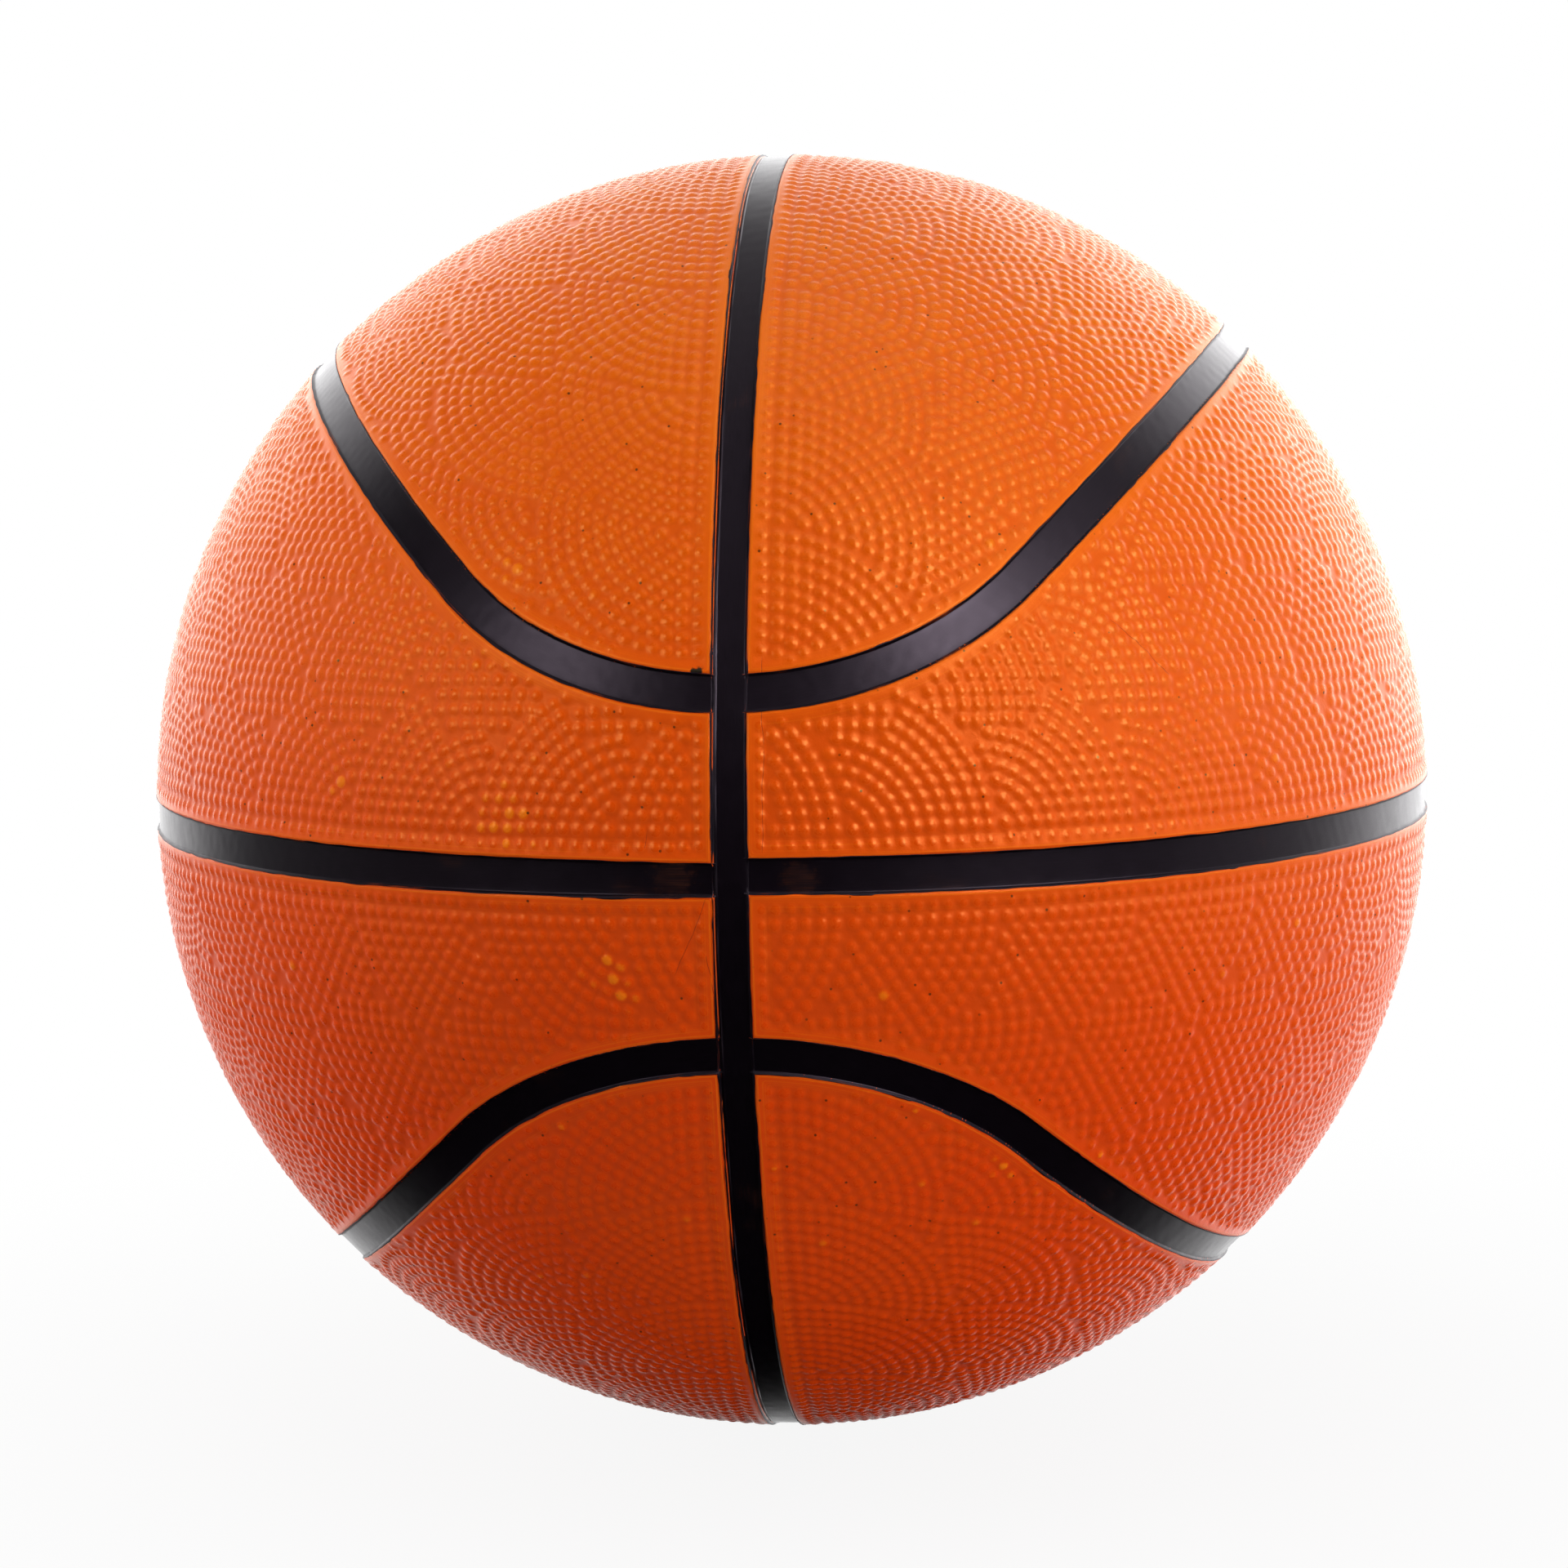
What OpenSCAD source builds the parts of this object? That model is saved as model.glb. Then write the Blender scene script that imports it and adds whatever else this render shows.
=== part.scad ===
// A moulded rubber basketball, laid up from its bladder outwards.
// Origin at the ball's centre. +Z up, the front crossing of the channels on -Y.
// The upright channel lies in the plane x = 0 and the level channel in the plane z = 0.

/* [Ball] */
// Diameter over the tops of the pebbles
ball_d = 243; // [238:0.5:248.5]

/* [Channels] */
// Width of the upright channel, which runs through every crossing
upright_w = 5.8; // [5:0.1:6.35]
// Width of the level channel
level_w = 6.3; // [5:0.1:6.35]
// Width of the two curved channels
curve_w = 6.3; // [5:0.1:6.35]
// Depth of the black strips below the tops of the pebbles
channel_recess = 0.6; // [0.3:0.1:1]
// Distance over the surface from the level channel to a curved one, centre to centre at the front
waist_gap = 30.6; // [26:0.2:36]
// Lean of the curved channels over the sides of the ball, above the level plane, in degrees
curve_lean = 45; // [42:1:48]

/* [Plies] */
// Thickness of the cover, pebbles included
cover_t = 1.3; // [1.1:0.1:2]
// Thickness of the rubber carcass
carcass_t = 0.7; // [0.5:0.1:1.2]
// Thickness of the nylon thread winding
winding_t = 0.4; // [0.3:0.1:0.8]
// Thickness of the bladder's wall
bladder_t = 0.9; // [0.6:0.1:1.4]

/* [Valve] */
// Turn of the valve round the ball from the front crossing, towards +X, in degrees
valve_turn = 150; // [140:1:160]
// Height of the valve above the level channel, in degrees
valve_rise = 13; // [11:1:15]
// Diameter of the bore that takes an inflating needle
needle_bore_d = 2; // [1.8:0.1:2.2]
// Depth of the needle's bore, below which the plug closes itself
needle_bore_l = 9; // [6:0.5:11]
// Diameter of the plug's barrel
plug_d = 5; // [4:0.2:5.4]
// Length of the plug's barrel below its head
plug_barrel_l = 14; // [12:0.5:15]
// Diameter of the plug's head
plug_head_d = 6; // [5.8:0.1:6.6]
// Depth of the plug's head below the tops of the pebbles
plug_recess = 0.5; // [0.3:0.1:0.7]
// Diameter of the valve housing's neck
neck_d = 9; // [8:0.2:11]
// Length of the housing below its flange
housing_l = 12; // [10:0.5:16]
// Diameter of the housing's flange
flange_d = 26; // [20:1:30]
// Thickness of the housing's flange
flange_t = 1.2; // [0.8:0.1:2]
// Diameter of the patch that backs the bladder
patch_d = 38; // [34:1:44]
// Thickness of the patch
patch_t = 0.6; // [0.4:0.1:1]

/* [Fits] */
// Bond line left between one ply and the next
ply_gap = 0.05; // [0.02:0.01:0.1]
// Bond line left between a strip and the panels beside it
side_gap = 0.05; // [0.02:0.01:0.1]
// Radial gap round the housing's neck and round the plug
valve_gap = 0.05; // [0.02:0.01:0.1]
// Radial gap round the plug's head in the cover
head_gap = 0.25; // [0.1:0.05:0.4]

/* [Hidden] */
$fn = 128;

cover_colour = "#e2631b";
channel_colour = "#221d27";
carcass_colour = "#4a4541";
winding_colour = "#d9d2c0";
bladder_colour = "#2b2a29";
valve_colour = "#19181a";

// How far a cutting shape runs past what it cuts
overrun = 3;
// How far the rounded ends of a curved channel overlap its side stretches, so that they run into each other
blend = 0.05;

// Radii of the plies, from the pebble tops inwards
ball_r = ball_d / 2;
strip_r = ball_r - channel_recess;
cover_in_r = ball_r - cover_t;
carcass_r = cover_in_r - ply_gap;
carcass_in_r = carcass_r - carcass_t;
winding_r = carcass_in_r - ply_gap;
winding_in_r = winding_r - winding_t;
bladder_r = winding_in_r - ply_gap;
bladder_in_r = bladder_r - bladder_t;
patch_r = bladder_in_r - ply_gap;
patch_in_r = patch_r - patch_t;
flange_r = patch_in_r - ply_gap;
flange_in_r = flange_r - flange_t;

// Heights along the valve's axis, from the ball's centre
housing_foot = flange_in_r - housing_l;
plug_foot = cover_in_r - plug_barrel_l;
plug_top = ball_r - plug_recess;

// Each curved channel runs over both sides of the ball in a plane through its centre. Round the front and the
// back it is an arc of a small circle that touches both planes. The circle's axis rises end_rise from -Y or +Y
// and its edge lies end_spread from that axis.
waist_angle = waist_gap / ball_r * 180 / PI;
end_rise = atan2(sin(waist_angle), cos(waist_angle) - cos(curve_lean));
end_spread = end_rise - waist_angle;

// The wall between two spheres
module shell(outer, inner) {
    difference() {
        sphere(r = outer);
        sphere(r = inner);
    }
}

// Everything beyond a distance from the upright plane, on the +X side
module right_of(distance) {
    reach = ball_r + overrun;
    translate([distance, -reach, -reach])
        cube([reach, 2 * reach, 2 * reach]);
}

// Everything beyond a distance above the level plane
module above(distance) {
    reach = ball_r + overrun;
    translate([-reach, -reach, distance])
        cube([2 * reach, 2 * reach, reach]);
}

// Everything inside the upper curved channel's centre line, grown by an offset over the surface
module inside_curve(offset) {
    reach = ball_d;
    side_reach = ball_r * cos(end_rise) / cos(end_spread) * cos(asin(offset / ball_r));
    foot = -offset / cos(curve_lean);
    rise = reach * tan(curve_lean);
    rotate([90, 0, 0])
        linear_extrude(2 * side_reach, center = true)
            polygon([[0, foot], [reach, foot + rise], [-reach, foot + rise]]);
    for (back = [0, 1]) {
        mirror([0, back, 0])
            rotate([90 - end_rise, 0, 0])
                end_cone(end_spread + asin((offset + blend) / ball_r));
    }
}

// A cone about +Z with its point at the ball's centre, from half way out to past the cover
module end_cone(half_angle) {
    top = ball_r + overrun;
    bottom = ball_r / 2;
    translate([0, 0, bottom])
        cylinder(h = top - bottom, r1 = bottom * tan(half_angle), r2 = top * tan(half_angle));
}

// Puts a shape drawn along +Z onto the valve's axis
module on_valve_axis() {
    rotate([0, 0, valve_turn - 90])
        rotate([0, 90 - valve_rise, 0])
            children();
}

// A round hole along the valve's axis through everything beyond the bladder's core
module valve_hole(diameter) {
    on_valve_axis()
        translate([0, 0, housing_foot])
            cylinder(h = ball_r + overrun - housing_foot, d = diameter);
}

// Half of an oval closed by the upper curved channel
module cap_panel() {
    color(cover_colour)
        intersection() {
            shell(ball_r, cover_in_r);
            intersection() {
                inside_curve(-curve_w / 2);
                right_of(upright_w / 2);
            }
        }
}

// The panel between the upper curved channel and the level one, from the front crossing to the back
module saddle_panel() {
    color(cover_colour)
        intersection() {
            shell(ball_r, cover_in_r);
            difference() {
                intersection() {
                    right_of(upright_w / 2);
                    above(level_w / 2);
                }
                inside_curve(curve_w / 2);
            }
        }
}

// Half of the strip round the upper oval
module curve_strip() {
    color(channel_colour)
        intersection() {
            shell(strip_r, cover_in_r);
            difference() {
                intersection() {
                    right_of(upright_w / 2);
                    inside_curve(curve_w / 2 - side_gap);
                }
                inside_curve(side_gap - curve_w / 2);
            }
        }
}

// Half of the level strip, from the front crossing to the back
module level_strip() {
    color(channel_colour)
        intersection() {
            shell(strip_r, cover_in_r);
            intersection() {
                right_of(upright_w / 2);
                above(side_gap - level_w / 2);
                mirror([0, 0, 1]) above(side_gap - level_w / 2);
            }
        }
}

module panel_cap_upper_right() cap_panel();
module panel_cap_upper_left() mirror([1, 0, 0]) cap_panel();
module panel_cap_lower_right() mirror([0, 0, 1]) cap_panel();
module panel_cap_lower_left() mirror([1, 0, 0]) mirror([0, 0, 1]) cap_panel();

// This panel has the hole that shows the valve plug
module panel_saddle_upper_right() {
    color(cover_colour)
        difference() {
            saddle_panel();
            valve_hole(plug_head_d + 2 * head_gap);
        }
}
module panel_saddle_upper_left() mirror([1, 0, 0]) saddle_panel();
module panel_saddle_lower_right() mirror([0, 0, 1]) saddle_panel();
module panel_saddle_lower_left() mirror([1, 0, 0]) mirror([0, 0, 1]) saddle_panel();

module channel_upright() {
    color(channel_colour)
        intersection() {
            rotate([0, 90, 0]) shell(strip_r, cover_in_r);
            cube([upright_w - 2 * side_gap, 2 * ball_d, 2 * ball_d], center = true);
        }
}
module channel_level_right() level_strip();
module channel_level_left() mirror([1, 0, 0]) level_strip();
module channel_curve_upper_right() curve_strip();
module channel_curve_upper_left() mirror([1, 0, 0]) curve_strip();
module channel_curve_lower_right() mirror([0, 0, 1]) curve_strip();
module channel_curve_lower_left() mirror([1, 0, 0]) mirror([0, 0, 1]) curve_strip();

module carcass_upper() {
    color(carcass_colour)
        difference() {
            intersection() {
                shell(carcass_r, carcass_in_r);
                above(ply_gap / 2);
            }
            valve_hole(neck_d + 2 * valve_gap);
        }
}
module carcass_lower() {
    color(carcass_colour)
        intersection() {
            shell(carcass_r, carcass_in_r);
            mirror([0, 0, 1]) above(ply_gap / 2);
        }
}

module thread_winding() {
    color(winding_colour)
        difference() {
            shell(winding_r, winding_in_r);
            valve_hole(neck_d + 2 * valve_gap);
        }
}

module bladder() {
    color(bladder_colour)
        difference() {
            shell(bladder_r, bladder_in_r);
            valve_hole(neck_d + 2 * valve_gap);
        }
}

// A round piece of wall about the valve's axis
module valve_disc(diameter, outer, inner) {
    intersection() {
        shell(outer, inner);
        on_valve_axis()
            translate([0, 0, housing_foot])
                cylinder(h = ball_r - housing_foot, d = diameter);
    }
}

module bladder_valve_patch() {
    color(bladder_colour)
        difference() {
            valve_disc(patch_d, patch_r, patch_in_r);
            valve_hole(neck_d + 2 * valve_gap);
        }
}

// A rubber mushroom: a flange bonded to the patch, and a neck from inside the ball to the underside of the cover
module valve_housing() {
    color(valve_colour)
        difference() {
            union() {
                valve_disc(flange_d, flange_r, flange_in_r);
                intersection() {
                    on_valve_axis()
                        translate([0, 0, housing_foot])
                            cylinder(h = ball_r - housing_foot, d = neck_d);
                    sphere(r = carcass_r);
                }
            }
            on_valve_axis()
                translate([0, 0, housing_foot - overrun])
                    cylinder(h = ball_r - housing_foot + 2 * overrun, d = plug_d + 2 * valve_gap);
        }
}

module valve_plug() {
    color(valve_colour)
        on_valve_axis()
            difference() {
                union() {
                    translate([0, 0, plug_foot])
                        cylinder(h = plug_top - plug_foot, d = plug_d);
                    translate([0, 0, cover_in_r])
                        cylinder(h = plug_top - cover_in_r, d = plug_head_d);
                }
                translate([0, 0, plug_top - needle_bore_l])
                    cylinder(h = needle_bore_l + overrun, d = needle_bore_d);
            }
}

panel_cap_upper_left();
panel_cap_upper_right();
panel_cap_lower_left();
panel_cap_lower_right();
panel_saddle_upper_left();
panel_saddle_upper_right();
panel_saddle_lower_left();
panel_saddle_lower_right();
channel_upright();
channel_level_left();
channel_level_right();
channel_curve_upper_left();
channel_curve_upper_right();
channel_curve_lower_left();
channel_curve_lower_right();
carcass_upper();
carcass_lower();
thread_winding();
bladder();
bladder_valve_patch();
valve_housing();
valve_plug();
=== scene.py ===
"""A moulded rubber basketball: eight pebbled orange panels between black painted channels, in the CAD's frame."""
import math
import bpy
import numpy as np
from mathutils import Matrix, Vector


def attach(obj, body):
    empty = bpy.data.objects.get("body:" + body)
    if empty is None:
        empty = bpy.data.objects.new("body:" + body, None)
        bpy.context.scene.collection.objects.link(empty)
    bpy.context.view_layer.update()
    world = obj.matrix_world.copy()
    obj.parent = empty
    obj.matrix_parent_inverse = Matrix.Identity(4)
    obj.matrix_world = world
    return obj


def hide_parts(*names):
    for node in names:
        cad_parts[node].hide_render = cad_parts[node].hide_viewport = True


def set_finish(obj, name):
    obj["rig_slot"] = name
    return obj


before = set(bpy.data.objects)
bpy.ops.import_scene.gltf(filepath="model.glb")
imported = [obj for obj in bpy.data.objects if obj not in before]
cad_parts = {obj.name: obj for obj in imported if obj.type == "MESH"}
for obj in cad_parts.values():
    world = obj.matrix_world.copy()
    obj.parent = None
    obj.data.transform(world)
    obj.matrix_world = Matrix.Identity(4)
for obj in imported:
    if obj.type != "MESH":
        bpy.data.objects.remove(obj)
bpy.context.view_layer.update()

# ---------------------------------------------------------------- sizes, in millimetres
MM = 0.001
BALL_R = 121.5
UPRIGHT_W, LEVEL_W, CURVE_W = 5.8, 6.3, 6.3
WAIST = 30.6 / BALL_R       # angle from the level channel to a curved one, along the upright one
LEAN = math.radians(45)     # lean of the plane that a curved channel keeps to along the sides
# the small circle that it runs round at the front and back: its centre's rise and its angular radius
END_RISE = math.atan2(math.sin(WAIST), math.cos(WAIST) - math.cos(LEAN))
END_SPREAD = END_RISE - WAIST
FLOOR_DEPTH = 0.60          # channel floor below the pebble tops
LAND = -0.13                # smooth border beside a channel
VALLEY = -0.45              # ground between the pebbles
PEBBLE_H, PEBBLE_R = 0.40, 1.46
STRETCH = 1.06              # a pebble's length along its ring, by its width
RING_GAP, DOT_GAP = 2.52, 2.56
FAN_PITCH, TIER_GAP, FAN_REACH = 26.2, 22.4, 27.8
FIRST_ROW = 5.4
TUCK = 1.0                  # how far a panel runs on under the paint
VALVE_TURN, VALVE_RISE = math.radians(150), math.radians(13)
VALVE_HOLE = 3.25           # radius of the hole in the cover
NO_HIGHER = -0.005          # every surface stays this far inside the ball's radius

PANEL_STEP = 0.50           # spacing of a panel's mesh
CHANNEL_STEP = 0.62         # spacing of a channel's mesh along it
BUTT = UPRIGHT_W / 2 - 1.3  # the level and curved channels end here, under the upright one
PAINT_FILM = 0.045
TRIM_FADE = 30              # the level channel's trim dies away over this length
SPUR_START, SPUR_SLOPE, FLAT_TOP = 10.5, 3.0, 17.5      # far edge of a saddle's fan
EDGE_GAP = 2.2              # from the upright channel to its column of small pebbles
CLEAR_LAND = 1.5            # no pebble's centre lies nearer than this to a channel
LEAST_GAP = 1.85            # nor nearer than this to another pebble's
RINGS = 12                  # rings of pebbles tried round a fan's centre
CLEAR_VALVE = 8.2           # bare land round the valve's axis
STRAY_WORN = 0.012          # share of the pebbles that are worn wherever they lie
FLASH_LINE, RUBBED_LINE = 2.22, 2.66    # moulding flash and rubbed paint, left of the upright channel's middle
NICKS = (2.6, -3.2, 28.0, -27.6, -33.4, 33.6)           # nicks beside the flash, up from the front crossing


# ---------------------------------------------------------------- places on the ball
def unit(v):
    """Each vector divided by its length."""
    return v / np.linalg.norm(v, axis=-1, keepdims=True)


def over_top(along, away):
    """Point for caps: along turns from the front over the top to the back, away leans towards +X."""
    return np.stack([np.sin(away), -np.cos(away) * np.cos(along), np.cos(away) * np.sin(along)], -1)


def round_side(along, away):
    """Point for saddles: along turns from the front round the right side to the back, away rises to +Z."""
    return np.stack([np.cos(away) * np.sin(along), -np.cos(away) * np.cos(along), np.sin(away)], -1)


VALVE_AXIS = round_side(np.array(VALVE_TURN), np.array(VALVE_RISE))
CURVE_AXIS = np.array([0, -math.cos(END_RISE), math.sin(END_RISE)])
SIDE_PLANE = np.array([1, 0, -1]) / math.sqrt(2)
JOINT = unit(CURVE_AXIS - CURVE_AXIS @ SIDE_PLANE * SIDE_PLANE)
END_SECTOR = np.cross(JOINT, CURVE_AXIS)
END_SECTOR = END_SECTOR * np.sign(END_SECTOR @ np.array([0, -math.cos(WAIST), math.sin(WAIST)]))


def fold(p):
    """The same point brought to the upper right front eighth of the ball."""
    return np.abs(p) * np.array([1, -1, 1])


def curve_side(p):
    """Distance from a curved channel's centre line in mm, positive on the cap's side: from the small circle round
    the front or back end, and from the leaning plane along the sides."""
    q = fold(p)
    end = END_SPREAD - np.arccos(np.clip(q @ CURVE_AXIS, -1, 1))
    side = -np.arcsin(np.clip(q @ SIDE_PLANE, -1, 1))
    return BALL_R * np.where(q @ END_SECTOR > 0, end, side)


LEVEL_TRIM = {(-1, 1): 0.72, (-1, -1): 0.20, (1, 1): -0.15, (1, -1): 0.66}   # left or right, over or under


def level_trim(p, over):
    """How much narrower, in mm, the level channel is over or under its line: most beside the front crossing, dying
    away along it."""
    fade = np.exp(-BALL_R * np.arcsin(np.clip(np.abs(p[..., 0]), 0, 1)) / TRIM_FADE) * (p[..., 1] < 0)
    left = np.where(over, LEVEL_TRIM[-1, 1], LEVEL_TRIM[-1, -1])
    right = np.where(over, LEVEL_TRIM[1, 1], LEVEL_TRIM[1, -1])
    return fade * np.where(p[..., 0] < 0, left, right)


def channel_depth(p):
    """How far inside the nearest black channel a point lies, in mm; negative on the panels."""
    q = fold(p)
    upright = UPRIGHT_W / 2 - BALL_R * np.arcsin(np.clip(q[..., 0], -1, 1))
    level = LEVEL_W / 2 - level_trim(p, p[..., 2] > 0) - BALL_R * np.arcsin(np.clip(q[..., 2], -1, 1))
    return np.maximum(np.maximum(upright, level), CURVE_W / 2 - np.abs(curve_side(p)))


def ease(x):
    """Smooth step from 0 at 0 to 1 at 1."""
    x = np.clip(x, 0, 1)
    return x * x * (3 - 2 * x)


def ripple(p, size, seed):
    """A smooth random field of about unit spread: fourteen plane waves of that size in mm in random directions."""
    waves = 14
    rng = np.random.default_rng(seed)
    heading = unit(rng.normal(size=(waves, 3))) * (2 * math.pi * BALL_R / size) * rng.uniform(0.6, 1.5, (waves, 1))
    total = np.zeros(p.shape[:-1])
    for way, phase in zip(heading, rng.uniform(0, 6.283, waves)):
        total += np.sin(p @ way + phase)
    return total / math.sqrt(waves / 2)


# ---------------------------------------------------------------- mesh making
def add_piece(name, points, faces, slot, replaces=(), marks=None, uv=None):
    """A smooth mesh object at the origin from points in mm and quads or triangles, tied to the frame. marks are
    numbers for each point that the materials read."""
    mesh = bpy.data.meshes.new(name)
    points = np.asarray(points, float) * MM
    faces = np.asarray(faces, np.int32)
    sides = faces.shape[1]
    mesh.vertices.add(len(points))
    mesh.vertices.foreach_set("co", points.astype(np.float32).ravel())
    mesh.loops.add(faces.size)
    mesh.loops.foreach_set("vertex_index", faces.ravel())
    mesh.polygons.add(len(faces))
    mesh.polygons.foreach_set("loop_start", np.arange(0, faces.size, sides, dtype=np.int32))
    mesh.polygons.foreach_set("use_smooth", np.full(len(faces), True))
    mesh.update(calc_edges=True)
    for key, values in (marks or {}).items():
        mesh.attributes.new(key, "FLOAT", "POINT").data.foreach_set("value", np.asarray(values, np.float32).ravel())
    if uv is not None:
        layer = mesh.uv_layers.new(name="lay")
        layer.data.foreach_set("uv", uv[faces.ravel()].astype(np.float32).ravel())
    mesh.validate()
    piece = bpy.data.objects.new(name, mesh)
    bpy.context.scene.collection.objects.link(piece)
    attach(piece, "root")
    if replaces:
        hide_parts(*replaces)
    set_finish(piece, slot)
    return piece


def grid_faces(rows, columns, close_rows=False, close_columns=False):
    """Quads of a grid of points stored row by row; a closed direction joins its last line to its first."""
    i, j = np.meshgrid(np.arange(rows - (not close_rows)), np.arange(columns - (not close_columns)), indexing="ij")
    i, j = i.ravel(), j.ravel()
    i2, j2 = (i + 1) % rows, (j + 1) % columns
    return np.stack([i * columns + j, i * columns + j2, i2 * columns + j2, i2 * columns + j], -1)


# ---------------------------------------------------------------- pebbles
def fan_centres(place, phase, shift, first, tiers):
    """Centres of the fans on a triangular lattice: tiers run along the channel and each starts a share of the pitch
    further on. Gives the centre and the two directions along and away, tier by tier, the front fan first."""
    fans = []
    for tier in range(tiers):
        away = (FIRST_ROW + TIER_GAP * tier) / BALL_R
        step = FAN_PITCH / BALL_R / math.cos(away)
        turns = (np.arange(first, 40) + phase + shift * tier) * step
        for along in turns[turns < math.pi + 0.1]:
            c = place(along, away)
            e = unit(place(along + 1e-4, away) - c)
            f = unit(place(along, away + 1e-4) - c)
            fans.append((c, e, f))
    return fans


def in_fan(p, fan, flat):
    """True where a fan covers a point: a disc, or where flat, a disc cut level with a spur at its far side."""
    c, e, f = fan
    ok = np.arccos(np.clip(p @ c, -1, 1)) * BALL_R < FAN_REACH
    if flat:
        ok &= p @ f * BALL_R < FLAT_TOP + SPUR_SLOPE * np.maximum(p @ e * BALL_R - SPUR_START, 0)
    return ok


def edge_column():
    """The column of small pebbles a saddle has beside the upright channel at the front and at the back."""
    w = np.arange(FIRST_ROW, WAIST * BALL_R - CURVE_W / 2 - 1.6, DOT_GAP - 0.08) / BALL_R
    p = over_top(w, np.full(len(w), (UPRIGHT_W / 2 + EDGE_GAP) / BALL_R))
    up = np.tile([0, 0, 1.0], (2 * len(w), 1))
    return np.concatenate([p, p * np.array([1, -1, 1])]), up


def pebble_centres(fans, flat):
    """Pebbles in concentric rings round each fan's centre, evenly spaced along each ring from the row's direction,
    with the direction along the ring at each. A fan lies over the fans after it in its tier and over the later
    tiers, and a pebble too close to one already laid is left out."""
    laid, grain = edge_column() if flat else (np.zeros((0, 3)), np.zeros((0, 3)))
    for k, (c, e, f) in enumerate(fans):
        rings, lines = [c[None]], [e[None]]
        for n in range(1, RINGS):
            r = n * RING_GAP
            m = np.arange(-int(r * 3.0 / DOT_GAP), int(r * 3.0 / DOT_GAP) + 1)
            turn = m * DOT_GAP / r
            rings.append(c * math.cos(r / BALL_R)
                         + (e * np.cos(turn)[:, None] + f * np.sin(turn)[:, None]) * math.sin(r / BALL_R))
            lines.append(f * np.cos(turn)[:, None] - e * np.sin(turn)[:, None])
        p, g = np.concatenate(rings), np.concatenate(lines)
        ok = in_fan(p, (c, e, f), flat)
        for other in fans[:k]:
            if other[0] @ c > math.cos(2.1 * FAN_REACH / BALL_R):
                ok &= ~in_fan(p, other, flat)
        ok &= channel_depth(p) < -CLEAR_LAND
        p, g = p[ok], g[ok]
        near = laid[laid @ c > math.cos(1.2 * FAN_REACH / BALL_R)]
        if len(near) and len(p):
            clear = np.arccos(np.clip(p @ near.T, -1, 1)).min(1) * BALL_R > LEAST_GAP
            p, g = p[clear], g[clear]
        laid, grain = np.concatenate([laid, p]), np.concatenate([grain, g])
    return laid, grain


LAID = {False: pebble_centres(fan_centres(over_top, 0.16, 0.42, 1, 6), False),
        True: pebble_centres(fan_centres(round_side, 0.61, 0.50, -1, 6), True)}


def panel_edge(p, saddle):
    """Distance inside a panel's own outline, in mm, where the outline runs TUCK under the paint."""
    upright = BALL_R * np.arcsin(np.clip(np.abs(p[..., 0]), 0, 1)) - UPRIGHT_W / 2 + TUCK
    curve = (-1 if saddle else 1) * curve_side(p) - CURVE_W / 2 + TUCK
    inside = np.minimum(upright, curve)
    if saddle:
        inside = np.minimum(inside, BALL_R * np.arcsin(np.clip(p[..., 2], -1, 1)) - LEVEL_W / 2 + TUCK)
    return inside


def land_height(p, depth):
    """Ground of a panel in mm above the ball's radius: a smooth border with a soft lip beside a channel, sinking to
    the valleys where the pebbles begin, and dropping away under the paint."""
    border = LAND + 0.10 * np.exp(-((depth + 0.50) / 0.42) ** 2)
    ground = VALLEY + (border - VALLEY) * ease((depth + 3.2) / 2.1)
    ground += 0.012 * ripple(p, 16, 5)
    return ground - 1.15 * ease((depth + 0.06) / 0.75)


# a direction on the ball and a reach in mm for each handled spot
WORN_SPOTS = ((-38, -115, 8, 8.5), (-42, -107, 38, 4.5), (-38, -104, 49, 3.5), (-20, -118.5, -17, 6),
              (30, -110, -41, 3), (60, -92, -52, 3), (0, -52, 109.5, 6), (-70, -99, 14, 3), (24, -117, -20, 2.5),
              (45, -100, -52, 4), (80, 70, 58, 6), (-60, 95, 44, 5), (20, 110, -48, 6), (-95, 60, -45, 5))


def worn_share(p):
    """How worn the cover is at a point: the highest of the handled spots' bell curves."""
    spots = np.array(WORN_SPOTS, float)
    gap = np.arccos(np.clip(p @ unit(spots[:, :3]).T, -1, 1)) * BALL_R
    return np.exp(-(gap / spots[:, 3]) ** 2).max(1)


def valve_distance(p):
    """Distance over the surface from the valve's axis, in mm."""
    return BALL_R * np.arccos(np.clip(p @ VALVE_AXIS, -1, 1))


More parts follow.
